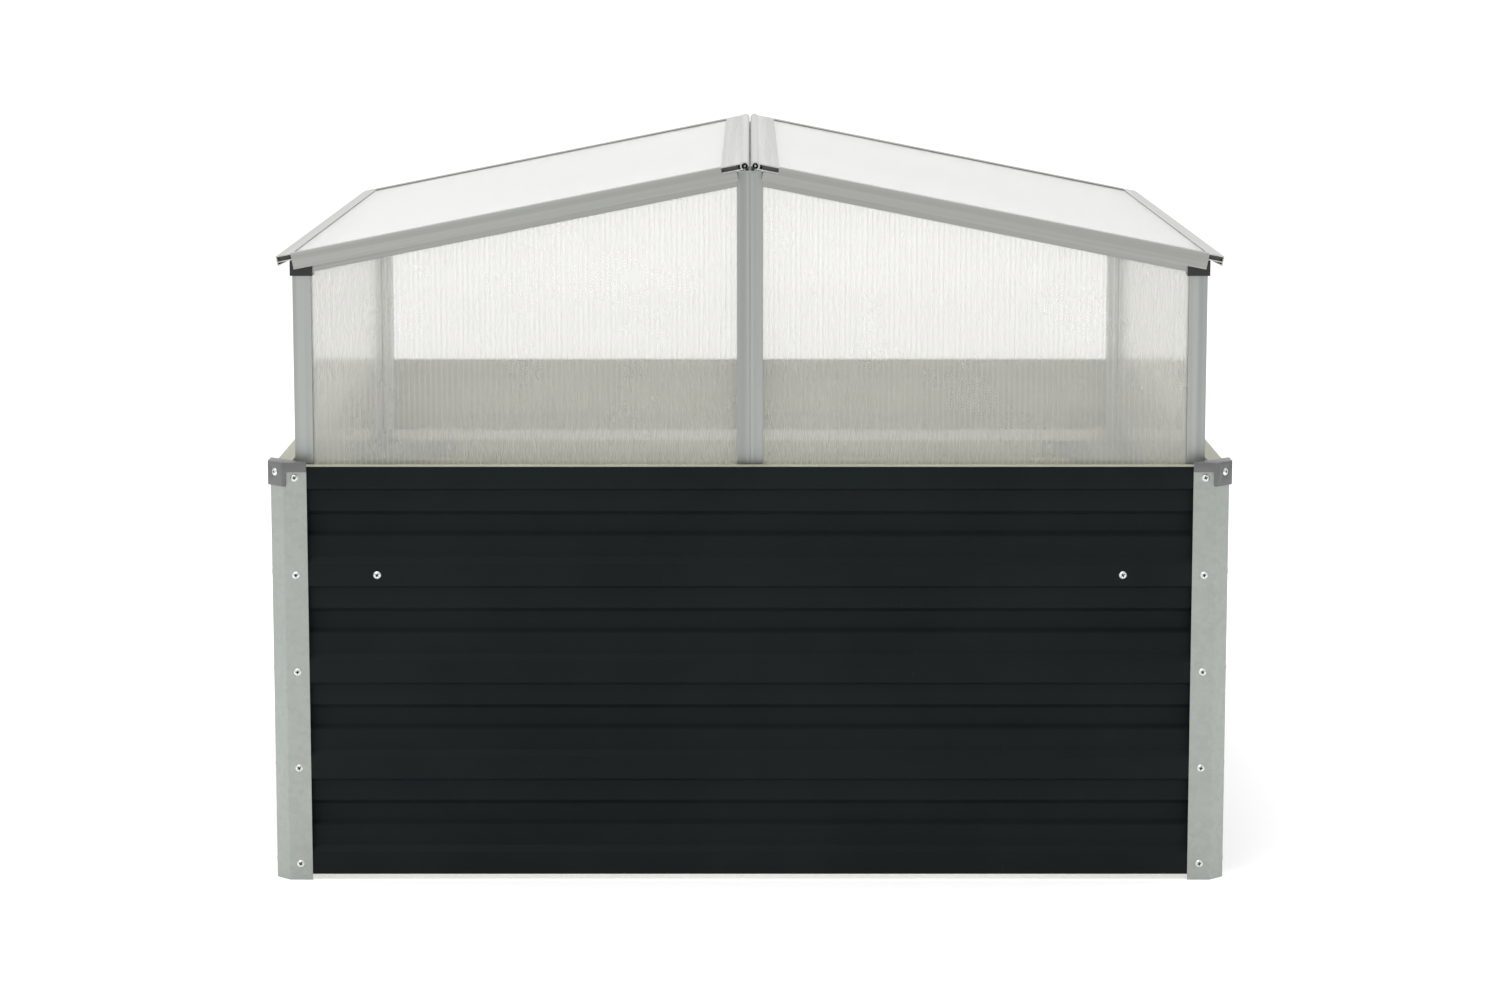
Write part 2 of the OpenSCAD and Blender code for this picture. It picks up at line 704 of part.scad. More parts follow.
// Side sheet between two corner uprights, notched round both connectors
module side_sheet(side) {
    half = frame_d / 2 - sheet_end;
    notch = frame_d / 2 - connector_face - edge_gap;
    notch_top = upright_top - edge_gap;
    top = eave_z + slot_depth - edge_gap;
    outline = [
        [-half, sheet_z], [half, sheet_z], [half, notch_top], [notch, notch_top],
        [notch, top], [-notch, top], [-notch, notch_top], [-half, notch_top]
    ];
    color(sheet_colour) on_side(side) translate([frame_w / 2 - sheet_v, 0, 0]) intersection() {
        translate([0, -half, sheet_z]) rotate([0, 0, 90]) linear_extrude(top - sheet_z) twin_wall(2 * half);
        along_x(4 * sheet_t) polygon(outline);
    }
}

module left_sheet() side_sheet(-1);
module right_sheet() side_sheet(1);

// ------------------------------------------------------------------ lids

// Hinge rail: an open knuckle round the ridge bead, and a top and a lower leg for the sheet
module hinge_rail(side) {
    reach = 2 * knuckle_r;
    middle = (knuckle_open_from + knuckle_open_to) / 2;
    color(lid_colour) in_lid(side) along_y(2 * lid_half) difference() {
        union() {
            circle(knuckle_r);
            polygon([
                [0, lid_slot_top], [hinge_rail_l, lid_slot_top], [hinge_rail_l, lid_top - bevel_fall],
                [hinge_rail_l - bevel_run, lid_top], [0, lid_top]
            ]);
            translate([bead_r, lid_bottom]) square([hinge_rail_l - bead_r, lid_skin]);
        }
        circle(bead_r + bead_gap);
        polygon([
            [0, 0],
            reach * [cos(knuckle_open_from), sin(knuckle_open_from)],
            reach * [cos(middle), sin(middle)],
            reach * [cos(knuckle_open_to), sin(knuckle_open_to)]
        ]);
    }
}

// Eave rail of a lid: a slot for the sheet, and a hollow below it that ends in a drip lip
module lid_eave_rail(side) {
    web = lid_length - lid_skin;
    lip = lid_bottom - drip_h;
    return_start = eave_start + 2 * lid_skin;
    color(lid_colour) in_lid(side) along_y(2 * lid_half) difference() {
        polygon([
            [eave_start, lid_bottom], [return_start, lid_bottom], [web, lip], [lid_length, lip],
            [lid_length, lid_top], [eave_start + bevel_run, lid_top], [eave_start, lid_top - bevel_fall]
        ]);
        translate([eave_start - cut_over, -lid_floor]) square([web - eave_start + cut_over, slot_w]);
        polygon([[return_start + 2 * lid_skin, lid_bottom], [web, lid_bottom], [web, lip + lid_skin]]);
    }
}

// End rail of a lid, drawn for the front: a slot for the sheet and a skirt over the gable rail
module lid_end_rail(side, end) {
    top_in = -frame_d / 2 + rake_lap;
    section = [
        [-lid_half, lid_top], [top_in - bevel_run, lid_top], [top_in, lid_top - bevel_fall],
        [top_in, lid_slot_top], [-skirt_in, lid_slot_top], [-skirt_in, -lid_floor],
        [-stay_bracket_y, -lid_floor], [-stay_bracket_y, lid_bottom], [-skirt_in, lid_bottom],
        [-skirt_in, -skirt_drop], [-lid_half, -skirt_drop]
    ];
    below = lid_bottom - lid_rest_gap;
    color(lid_colour) on_end(end) in_lid(side) {
        translate([(hinge_rail_l + eave_start) / 2, 0, 0])
            along_x(eave_start - hinge_rail_l) polygon(section);
        translate([skirt_start, -lid_half, -skirt_drop])
            cube([hinge_rail_l - skirt_start + cut_over, skirt_t, skirt_drop + below]);
    }
}

// Lid sheet with its ribs running from the ridge to the eave
module lid_sheet(side) {
    start = lid_sheet_start;
    end = lid_length - lid_skin - 2 * edge_gap;
    color(sheet_colour) in_lid(side)
        translate([(start + end) / 2, -lid_sheet_half, slot_gap - lid_floor])
            along_x(end - start) twin_wall(2 * lid_sheet_half);
}

// Bracket under the front end rail, with the stud that a stay turns on
module stay_bracket(side) {
    bracket_t = stud_head_t;
    plate_h = stay_drop + stay_w / 2 + lid_bottom;
    stud_l = stay_bracket_y - stud_head_y;
    color(zinc_colour) in_lid(side) translate([stay_u, 0, 0]) {
        translate([-stay_w / 2, -stay_bracket_y - bracket_t, lid_bottom - plate_h])
            cube([stay_w, bracket_t, plate_h]);
        translate([0, -stay_bracket_y, -stay_drop]) rotate([-90, 0, 0]) {
            cylinder(r = stud_r, h = stud_l);
            translate([0, 0, stud_l - stud_head_t]) cylinder(r = stud_head_r, h = stud_head_t);
        }
    }
}

// Prop stay: a flat bar folded up the slope, with setting holes towards its free end
module prop_stay(side) {
    color(zinc_colour) in_lid(side)
        translate([stay_u, -stay_y - stay_t / 2, -stay_drop]) along_y(stay_t) difference() {
            union() {
                circle(stay_w / 2);
                translate([-stay_l, 0]) circle(stay_w / 2);
                translate([-stay_l, -stay_w / 2]) square([stay_l, stay_w]);
            }
            circle(stud_r + pivot_gap);
            for (i = [0:setting_count - 1])
                translate([-stay_l + i * setting_pitch, 0]) circle(stud_r + setting_gap);
        }
}

// Peg on the inner face of each front upright, which a propped stay hooks over
module stay_pegs() {
    peg_l = frame_d / 2 - upright_w - stud_head_y;
    color(zinc_colour) for (side = [-1, 1])
        translate([side * peg_x, -frame_d / 2 + upright_w, peg_z]) rotate([-90, 0, 0]) {
            cylinder(r = stud_head_r, h = stud_head_t);
            cylinder(r = stud_r, h = peg_l);
            translate([0, 0, peg_l - stud_head_t]) cylinder(r = stud_head_r, h = stud_head_t);
        }
}

module left_lid_hinge_rail() hinge_rail(-1);
module left_lid_eave_rail() lid_eave_rail(-1);
module left_lid_front_rail() lid_end_rail(-1, -1);
module left_lid_back_rail() lid_end_rail(-1, 1);
module left_lid_sheet() lid_sheet(-1);
module left_stay_bracket() stay_bracket(-1);
module left_stay() prop_stay(-1);
module right_lid_hinge_rail() hinge_rail(1);
module right_lid_eave_rail() lid_eave_rail(1);
module right_lid_front_rail() lid_end_rail(1, -1);
module right_lid_back_rail() lid_end_rail(1, 1);
module right_lid_sheet() lid_sheet(1);
module right_stay_bracket() stay_bracket(1);
module right_stay() prop_stay(1);

front_wall();
back_wall();
left_wall();
right_wall();
front_left_post();
front_right_post();
back_left_post();
back_right_post();
front_left_cap();
front_right_cap();
back_left_cap();
back_right_cap();
front_left_brace();
front_right_brace();
back_left_brace();
back_right_brace();
post_screws();
post_nuts();
brace_bolts();
brace_nuts();
front_left_upright();
front_right_upright();
back_left_upright();
back_right_upright();
front_centre_upright();
back_centre_upright();
front_left_gable_rail();
front_right_gable_rail();
back_left_gable_rail();
back_right_gable_rail();
left_eave_rail();
right_eave_rail();
ridge_beam();
front_sills();
back_sills();
left_sill();
right_sill();
corner_connectors();
front_left_sheet();
front_right_sheet();
back_left_sheet();
back_right_sheet();
left_sheet();
right_sheet();
stay_pegs();
left_lid_hinge_rail();
left_lid_eave_rail();
left_lid_front_rail();
left_lid_back_rail();
left_lid_sheet();
left_stay_bracket();
left_stay();
right_lid_hinge_rail();
right_lid_eave_rail();
right_lid_front_rail();
right_lid_back_rail();
right_lid_sheet();
right_stay_bracket();
right_stay();
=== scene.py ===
import json
import math
import random

import bmesh
import bpy
from mathutils import Matrix, Vector

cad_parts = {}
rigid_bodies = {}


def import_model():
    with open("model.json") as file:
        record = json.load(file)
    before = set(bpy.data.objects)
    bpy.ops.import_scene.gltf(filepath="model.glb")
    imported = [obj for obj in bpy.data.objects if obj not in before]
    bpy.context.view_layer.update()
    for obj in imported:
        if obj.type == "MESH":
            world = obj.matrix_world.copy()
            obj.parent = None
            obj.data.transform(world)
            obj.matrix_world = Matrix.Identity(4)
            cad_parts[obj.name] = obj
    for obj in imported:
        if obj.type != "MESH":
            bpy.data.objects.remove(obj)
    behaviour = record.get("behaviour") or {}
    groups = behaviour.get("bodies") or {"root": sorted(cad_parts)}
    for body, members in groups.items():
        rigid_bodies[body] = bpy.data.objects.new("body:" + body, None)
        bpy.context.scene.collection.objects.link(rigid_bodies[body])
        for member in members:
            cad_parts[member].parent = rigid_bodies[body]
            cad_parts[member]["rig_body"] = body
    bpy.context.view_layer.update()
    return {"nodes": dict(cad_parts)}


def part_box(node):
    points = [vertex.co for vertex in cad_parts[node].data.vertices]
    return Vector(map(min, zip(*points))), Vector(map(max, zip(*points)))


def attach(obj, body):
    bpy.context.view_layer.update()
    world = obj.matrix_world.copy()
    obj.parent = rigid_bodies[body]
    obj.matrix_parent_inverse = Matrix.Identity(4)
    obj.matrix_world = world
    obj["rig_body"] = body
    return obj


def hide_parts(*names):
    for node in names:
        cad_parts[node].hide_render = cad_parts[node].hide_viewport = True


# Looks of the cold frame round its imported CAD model. Metres, +Z up, +Y to the back.

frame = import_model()
NODES = frame["nodes"]
MM = 0.001

# Sizes of the bed, as its CAD pieces have them
BED_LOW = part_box("front_left_post")[0]
BED_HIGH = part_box("back_right_post")[1]
HALF_W = (BED_HIGH.x - BED_LOW.x) / 2
HALF_D = (BED_HIGH.y - BED_LOW.y) / 2
POST_T = 1.2 * MM
POST_W = 39 * MM
POST_CHAMFER = 15 * MM
POST_BEND = 2.2 * MM
WALL_T = 0.8 * MM
WALL_BEND = 2.6 * MM
WALL_BOTTOM, WALL_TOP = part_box("front_wall")[0].z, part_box("front_wall")[1].z
WALL_RIBS = 4
OUTER_FLAT, DEEP_FLAT = 23 * MM, 17 * MM
MID_DEPTH, FULL_DEPTH = 6 * MM, 12 * MM
LOWER_SLOPE, UPPER_SLOPE, MID_SLOPE = 7.7 * MM, 3 * MM, 5 * MM
FOLD_W = 18 * MM
WALL_PITCH = (WALL_TOP - WALL_BOTTOM - OUTER_FLAT) / WALL_RIBS
WALL_END = 16 * MM
FOLD_END = 20 * MM
CAP_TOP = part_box("front_left_cap")[1].z
TOUCH = 1e-6

# Fasteners
SCREW_R, HEAD_R, HEAD_H, HEAD_RIM = 2.4 * MM, 4 * MM, 2.2 * MM, 0.35 * MM
NUT_R, NUT_H, NUT_BORE = 4.6 * MM, 4 * MM, 2.45 * MM
SCREW_IN, BRACE_REACH = 26.5 * MM, 111 * MM
CAP_T, CAP_GAP, CAP_SCREW_DROP = 2.3 * MM, 0.3 * MM, 10.5 * MM
BRACE_T, TAIL = 2 * MM, 1 * MM
THREAD_PITCH, THREAD_DEPTH = 0.8 * MM, 0.28 * MM
NUT_SINK, NUT_FACE = 0.35 * MM, 0.97
# Radii of the rings of a screw head
HEAD_RINGS = [0.0002, 0.0004, 0.0006, 0.0008, 0.001, 0.0012, 0.0014, 0.0016, 0.0018, 0.002, 0.0022,
              0.0026, 0.003, 0.0034, 0.0037, 0.0039, 0.004]
THREAD_STEPS = 36
# The cross recess: arm half width and length and the fall of their sides in mm, its depth, and the
# depth past which its faces are painted near-black as painted shade
ARM_HALF, ARM_SIDE, ARM_END, ARM_TIP = 0.62, 0.22, 2.0, 0.45
RECESS_DEPTH, RECESS_DARK = 1.15 * MM, 0.35 * MM

# Cold frame
ROOF_PITCH = math.radians(11.3)
RIB_PITCH, RIB_T = 5.7 * MM, 0.5 * MM
TAPE_LAP = 2 * MM
HINGE_X, BEAD_R = 5.5 * MM, 3.2 * MM
BEAD_CORE, BEAD_WALL, BEAD_BORE = 1.3 * MM, 0.25 * MM, 9 * MM
# A sheet's haze between ribs, what a rib adds to it, and the share of it that lets light through
LID_HAZE = 0.13, 0.2, 0.5
SIDE_HAZE = 0.26, 0.08, 0.7
INNER_RIB_HAZE = 0.12


# ------------------------------------------------------------ node building

class Material:
    """One material's node tree. An input that is a socket is linked, and any other value is set."""

    def __init__(self, name):
        self.data = bpy.data.materials.new(name)
        self.data.use_nodes = True
        self.tree = self.data.node_tree
        self.tree.nodes.clear()

    def add(self, kind, out=0, inputs=None, **settings):
        node = self.tree.nodes.new("ShaderNode" + kind)
        for key, value in settings.items():
            setattr(node, key, value)
        for key, value in (inputs or {}).items():
            if isinstance(value, bpy.types.NodeSocket):
                self.tree.links.new(value, node.inputs[key])
            else:
                node.inputs[key].default_value = value
        return node.outputs[out]

    def coordinates(self, scale=(1, 1, 1), rotation=(0, 0, 0)):
        place = self.add("TexCoord", "Object")
        if rotation != (0, 0, 0):
            place = self.add("Mapping", inputs={"Vector": place, "Rotation": rotation})
        if scale != (1, 1, 1):
            place = self.add("Mapping", inputs={"Vector": place, "Scale": scale})
        return place

    def noise(self, place, scale, detail=2.0, roughness=0.5):
        return self.add("TexNoise", "Fac", {
            "Vector": place, "Scale": scale, "Detail": detail, "Roughness": roughness})

    def cells(self, place, scale):
        """A random value for each Voronoi cell."""
        colour = self.add("TexVoronoi", "Color", {"Vector": place, "Scale": scale})
        return self.add("SeparateColor", 0, {"Color": colour})

    def math(self, operation, a, b=0.0, c=0.0):
        return self.add("Math", 0, {0: a, 1: b, 2: c}, operation=operation)

    def span(self, value, low, high, to_low=0.0, to_high=1.0, smooth=False):
        return self.add("MapRange", 0, {
            "Value": value, "From Min": low, "From Max": high, "To Min": to_low, "To Max": to_high,
        }, interpolation_type="SMOOTHSTEP" if smooth else "LINEAR")

    def blend(self, share, a, b, kind="MIX"):
        """Colours a and b mixed by share."""
        return self.add("Mix", 2, {0: share, 6: a, 7: b}, data_type="RGBA", blend_type=kind)

    def bump(self, height, distance, strength=1.0, normal=None):
        inputs = {"Height": height, "Distance": distance, "Strength": strength}
        if normal:
            inputs["Normal"] = normal
        return self.add("Bump", 0, inputs)

    def shader(self, **inputs):
        return self.add("BsdfPrincipled", 0, {k.replace("_", " "): v for k, v in inputs.items()})

    def finish(self, shader):
        node = self.tree.nodes.new("ShaderNodeOutputMaterial")
        self.tree.links.new(shader, node.inputs["Surface"])
        return self.data


def rgb(red, green, blue, level=1.0):
    """A linear colour from sRGB values of 0 to 255."""
    parts = [v / 255 for v in (red, green, blue)]
    linear = [p / 12.92 if p <= 0.04045 else ((p + 0.055) / 1.055) ** 2.4 for p in parts]
    return (*[v * level for v in linear], 1.0)


# ---------------------------------------------------------------- materials

def painted_steel():
    """Satin anthracite coating with a faint orange peel, dust and fine handling marks."""
    m = Material("painted_steel")
    place = m.coordinates()
    peel = m.noise(place, 420, 2)
    cloud = m.noise(place, 7, 4, 0.6)
    rolled = m.noise(m.coordinates(scale=(0.02, 0.02, 1)), 900, 1)
    marks = m.noise(m.coordinates(scale=(1, 1, 0.15)), 260, 6, 0.7)
    wear = m.span(marks, 0.63, 0.74, 0, 1, True)
    tone = m.blend(m.span(cloud, 0.35, 0.65), rgb(15, 21, 22), rgb(20, 26, 27))
    tone = m.blend(m.math("MULTIPLY", wear, 0.06), tone, rgb(84, 90, 92))
    rough = m.span(cloud, 0.3, 0.7, 0.46, 0.56)
    rough = m.math("ADD", rough, m.math("MULTIPLY", wear, 0.08))
    normal = m.bump(peel, 0.00003, 0.5)
    normal = m.bump(rolled, 0.00001, 0.4, normal)
    return m.finish(m.shader(
        Base_Color=tone, Roughness=rough, Normal=normal, IOR=1.45, Specular_IOR_Level=0.11))


def primer(name, level):
    """Pale grey-green backing coat inside the bed, with roller lines and light soiling. Level scales
    the colour; the darker copy on the wall's top fold is painted shade.
    """
    m = Material(name)
    place = m.coordinates()
    cloud = m.noise(place, 5, 5, 0.6)
    rolled = m.noise(m.coordinates(scale=(0.03, 0.03, 1)), 700, 2)
    speck = m.noise(place, 380, 3, 0.7)
    tone = m.blend(m.span(cloud, 0.32, 0.68), rgb(184, 185, 162, level), rgb(198, 198, 178, level))
    tone = m.blend(m.span(rolled, 0.35, 0.7, 0, 0.35), tone, rgb(182, 184, 165, level))
    tone = m.blend(m.span(speck, 0.62, 0.72, 0, 0.3, True), tone, rgb(150, 151, 134, level))
    return m.finish(m.shader(
        Base_Color=tone, Roughness=m.span(cloud, 0.3, 0.7, 0.42, 0.56),
        Normal=m.bump(speck, 0.00003, 0.5), Specular_IOR_Level=0.4))


def galvanised():
    """Zinc-coated sheet: small irregular spangle, each crystal a little duller or brighter."""
    m = Material("galvanised_steel")
    place = m.coordinates()
    warp = m.add("TexNoise", "Color", {"Vector": place, "Scale": 60.0, "Detail": 3.0})
    warp = m.add("VectorMath", 0, {0: warp, 1: (0.006, 0.006, 0.006)}, operation="MULTIPLY")
    bent = m.add("VectorMath", 0, {0: place, 1: warp}, operation="ADD")
    large = m.cells(bent, 170)
    small = m.cells(bent, 420)
    cloud = m.noise(place, 6, 4, 0.6)
    grain = m.noise(place, 1500, 2)
    crystal = m.math("ADD", m.math("MULTIPLY", large, 0.6), m.math("MULTIPLY", small, 0.4))
    tone = m.blend(crystal, rgb(156, 161, 156), rgb(164, 169, 163))
    tone = m.blend(m.span(cloud, 0.35, 0.65, 0, 0.35), tone, rgb(152, 157, 152))
    rough = m.math("ADD", m.span(crystal, 0, 1, 0.42, 0.36), m.math("MULTIPLY", cloud, 0.04))
    return m.finish(m.shader(
        Base_Color=tone, Metallic=0.78, Roughness=rough,
        Normal=m.bump(grain, 0.00002, 0.3, m.bump(crystal, 0.00002, 0.2))))


def extrusion(name, dark, light, along, rotation=(0, 0, 0)):
    """Mill-finish aluminium with die lines that run along the extrusion."""
    m = Material(name)
    stretched = tuple(0.006 if axis == along else 1 for axis in "xyz")
    lines = m.coordinates(stretched, rotation)
    fine = m.noise(lines, 1100, 2)
    broad = m.noise(lines, 130, 2)
    cloud = m.noise(m.coordinates(), 9, 4, 0.6)
    pits = m.noise(m.coordinates(), 1700, 2)
    tone = m.blend(m.span(broad, 0.35, 0.65), dark, light)
    tone = m.blend(m.span(fine, 0.55, 0.75, 0, 0.3), tone, dark)
    rough = m.math("ADD", m.span(fine, 0.3, 0.7, 0.28, 0.42), m.math("MULTIPLY", cloud, 0.1))
    normal = m.bump(fine, 0.00002, 0.35)
    return m.finish(m.shader(
        Base_Color=tone, Metallic=0.85, Roughness=rough, Normal=m.bump(pits, 0.00001, 0.2, normal)))


def moulded(name, dark, light, rough, grain):
    """Moulded plastic with a fine spark-eroded grain."""
    m = Material(name)
    place = m.coordinates()
    cloud = m.noise(place, 40, 4, 0.6)
    texture = m.noise(place, grain, 3, 0.6)
    tone = m.blend(m.span(cloud, 0.3, 0.7), dark, light)
    shine = m.math("ADD", m.span(cloud, 0.3, 0.7, rough - 0.05, rough + 0.05),
                   m.span(texture, 0.3, 0.7, -0.04, 0.04))
    return m.finish(m.shader(
        Base_Color=tone, Roughness=shine, Normal=m.bump(texture, 0.00006, 0.5)))


def zinc(name, dark, light, turned):
    """Bright zinc plating with the faint tint and wear of small fasteners."""
    m = Material(name)
    place = m.coordinates()
    cloud = m.noise(place, 160, 4, 0.6)
    tint = m.noise(place, 55, 2)
    brushed = m.noise(m.coordinates(scale=(1, 1, 0.2)) if turned else place, 1900, 2)
    tone = m.blend(m.span(cloud, 0.3, 0.7), dark, light)
    tone = m.blend(m.span(tint, 0.5, 0.68, 0, 0.25), tone, rgb(222, 221, 210))
    rough = m.math("ADD", m.span(cloud, 0.3, 0.7, 0.2, 0.34), m.math("MULTIPLY", brushed, 0.08))
    return m.finish(m.shader(
        Base_Color=tone, Metallic=0.95, Roughness=rough, Normal=m.bump(brushed, 0.00002, 0.3)))


def twin_wall(name, node, axis, milk, rib_haze, through):
    """Twin-wall sheet. Its skins let most light through, and a rib shows as a hazy, duller line.
    An upright sheet is hazy on its weather face only. Grey tape closes a lid sheet's long ends."""
    low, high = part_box(node)
    is_lid = "lid" in node
    width = high[axis] - low[axis]
    count = math.floor((width - RIB_T) / RIB_PITCH)
    first = low[axis] + (width - count * RIB_PITCH) / 2
    m = Material(name)
    place = m.coordinates()
    across = m.add("SeparateXYZ", axis, {"Vector": place})
    phase = m.math("DIVIDE", m.math("SUBTRACT", across, first), RIB_PITCH)
    off_rib = m.math("PINGPONG", phase, 0.5)
    line = m.span(off_rib, 0.04, 0.24, 1, 0, True)
    facing = m.add("SeparateXYZ", axis, {"Vector": m.add("TexCoord", "Normal")})
    rib = m.span(m.math("ABSOLUTE", facing), 0.4, 0.6, 0, 1)
    cloud = m.noise(place, 9, 4, 0.6)
    dust = m.noise(place, 900, 4, 0.7)
    between = m.span(cloud, 0.3, 0.7, milk, milk + 0.02)
    haze = m.math("ADD", m.math("MULTIPLY", line, rib_haze), between)
    haze = m.math("ADD", haze, m.span(dust, 0.6, 0.8, 0, 0.012))
    if not is_lid:
        depth = m.add("SeparateXYZ", 1 - axis, {"Vector": place})
        weather = low if low[1 - axis] < 0 else high
        skin_depth = m.math("ABSOLUTE", m.math("SUBTRACT", depth, weather[1 - axis]))
        haze = m.math("MULTIPLY", haze, m.math("LESS_THAN", skin_depth, RIB_T / 2))
    haze = m.math("ADD", haze, m.math("MULTIPLY", rib, INNER_RIB_HAZE))
    skin = m.bump(m.span(off_rib, 0, 0.3, 1, 0, True), 0.0001, 0.5)
    white = rgb(250, 250, 248)
    milky = m.add("MixShader", 0, {
        0: through,
        1: m.add("BsdfDiffuse", 0, {"Color": white}),
        2: m.add("BsdfTranslucent", 0, {"Color": white}),
    })
    tint = m.blend(line, (0.988, 0.987, 0.984, 1), (0.968, 0.968, 0.966, 1))
    clear = m.add("BsdfTransparent", 0, {"Color": tint})
    body = m.add("MixShader", 0, {0: haze, 1: clear, 2: milky})
    grazing = m.math("POWER", m.add("LayerWeight", "Facing", {"Blend": 0.5}), 5.0)
    mirror = m.math("MULTIPLY_ADD", grazing, 0.55, 0.035)
    gloss = m.add("BsdfGlossy", 0, {
        "Color": (1, 1, 1, 1), "Roughness": m.span(cloud, 0.3, 0.7, 0.08, 0.16), "Normal": skin})
    sheet = m.add("MixShader", 0, {0: mirror, 1: body, 2: gloss})
    if not is_lid:
        return m.finish(sheet)
    from_middle = m.math("ABSOLUTE", m.add("SeparateXYZ", 1, {"Vector": place}))
    taped = m.math("GREATER_THAN", from_middle, high.y - TAPE_LAP)
    tape = m.shader(Base_Color=m.blend(cloud, rgb(72, 72, 70), rgb(92, 91, 88)), Roughness=0.7)
    return m.finish(m.add("MixShader", 0, {0: taped, 1: sheet, 2: tape}))


MADE = {}


def shared(maker, name, *args):
    """One material for all the nodes that ask for it by name."""
    if name not in MADE:
        MADE[name] = maker(name, *args)
    return MADE[name]


# -------------------------------------------------------------- mesh pieces

def add_mesh(name, verts, faces, kinds=None):
    mesh = bpy.data.meshes.new(name)
    mesh.from_pydata([tuple(v) for v in verts], [], faces)
    if kinds:
        mesh.polygons.foreach_set("material_index", kinds)
    obj = bpy.data.objects.new(name, mesh)
    bpy.context.scene.collection.objects.link(obj)
    return obj


def shade(obj, angle=35):
    obj.data.shade_smooth()
    obj.data.set_sharp_from_angle(angle=math.radians(angle))


def settle(obj, materials, nodes, body="root"):
    """Gives a piece its materials and its place in the frame."""
    for material in materials:
        obj.data.materials.append(material)
    shade(obj)
    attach(obj, body)
    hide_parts(*nodes)
    return obj


def rounded(path, radius, steps=5):
    """The path with each of its bends turned into an arc."""
    out = [Vector(path[0])]
    for before, corner, after in zip(path, path[1:], path[2:]):
        corner = Vector(corner)
        a = (Vector(before) - corner).normalized()
        b = (Vector(after) - corner).normalized()
        half = a.angle(b) / 2
        centre = corner + (a + b).normalized() * radius / math.sin(half)
        start = corner + a * (radius / math.tan(half)) - centre
        end = corner + b * (radius / math.tan(half)) - centre
        turn = math.atan2(start.x * end.y - start.y * end.x, start.dot(end))
        for i in range(steps + 1):
            out.append(centre + Matrix.Rotation(turn * i / steps, 2) @ start)
    out.append(Vector(path[-1]))
    return out


def offset(path, distance):
    """The path moved sideways, to its left for a positive distance."""
    out = []
    last = len(path) - 1
    for i, point in enumerate(path):
        before = (path[max(i, 1)] - path[max(i, 1) - 1]).normalized()
        after = (path[min(i + 1, last)] - path[min(i, last - 1)]).normalized()
        sides = [Vector((-v.y, v.x)) for v in (before, after)]
        middle = (sides[0] + sides[1]).normalized()
        out.append(point + middle * distance / middle.dot(sides[0]))
    return out


def swept_sheet(name, path, thickness, place, kind=lambda side, i: 0):
    """A bent sheet: place(point, end) puts each section point at both ends, -1 and 1.
    kind(side, i) is the material of stretch i on the path's own side, 0, or its far side, 1."""
    near, far = path, offset(path, thickness)
    count = len(path)
    verts = [place(p, end) for end in (-1, 1) for side in (near, far) for p in side]
    faces, kinds = [], []

    def at(end, side, i):
        return (end * 2 + side) * count + i

    for i in range(count - 1):
        for side in (0, 1):
            quad = [at(0, side, i), at(0, side, i + 1), at(1, side, i + 1), at(1, side, i)]
            faces.append(quad if side else quad[::-1])
            kinds.append(kind(side, i))
        for end in (0, 1):
            quad = [at(end, 0, i), at(end, 1, i), at(end, 1, i + 1), at(end, 0, i + 1)]
            faces.append(quad if end else quad[::-1])
            kinds.append(0)
    for i in (0, count - 1):
        quad = [at(0, 0, i), at(0, 1, i), at(1, 1, i), at(1, 0, i)]
        faces.append(quad[::-1] if i else quad)
        kinds.append(0)
    obj = add_mesh(name, verts, faces, kinds)
    face_outward(obj)
    return obj


def face_outward(obj):
    bm = bmesh.new()
    bm.from_mesh(obj.data)
    bmesh.ops.recalc_face_normals(bm, faces=bm.faces)
    bm.to_mesh(obj.data)
    bm.free()


# ---------------------------------------------------------------------- bed

def wall_section():
    """The corrugated section as (depth behind the posts' faces, height), and its top fold."""
    z = WALL_BOTTOM
    path = [(POST_T, z), (POST_T, z + OUTER_FLAT)]
    side_flat = (WALL_PITCH - OUTER_FLAT - DEEP_FLAT - LOWER_SLOPE - UPPER_SLOPE - 2 * MID_SLOPE) / 2
    mid, deep = POST_T + MID_DEPTH, POST_T + FULL_DEPTH
    for i in range(WALL_RIBS):
        z = WALL_BOTTOM + OUTER_FLAT + i * WALL_PITCH
        for depth, rise in ((mid, LOWER_SLOPE), (mid, side_flat), (deep, MID_SLOPE), (deep, DEEP_FLAT),
                            (mid, MID_SLOPE), (mid, side_flat), (POST_T, UPPER_SLOPE)):
            z += rise
            path.append((depth, z))
        path.append((POST_T, z + OUTER_FLAT))
    path[-1] = (POST_T, WALL_TOP)
    path.append((POST_T + FOLD_W, WALL_TOP))
    return rounded(path, WALL_BEND)


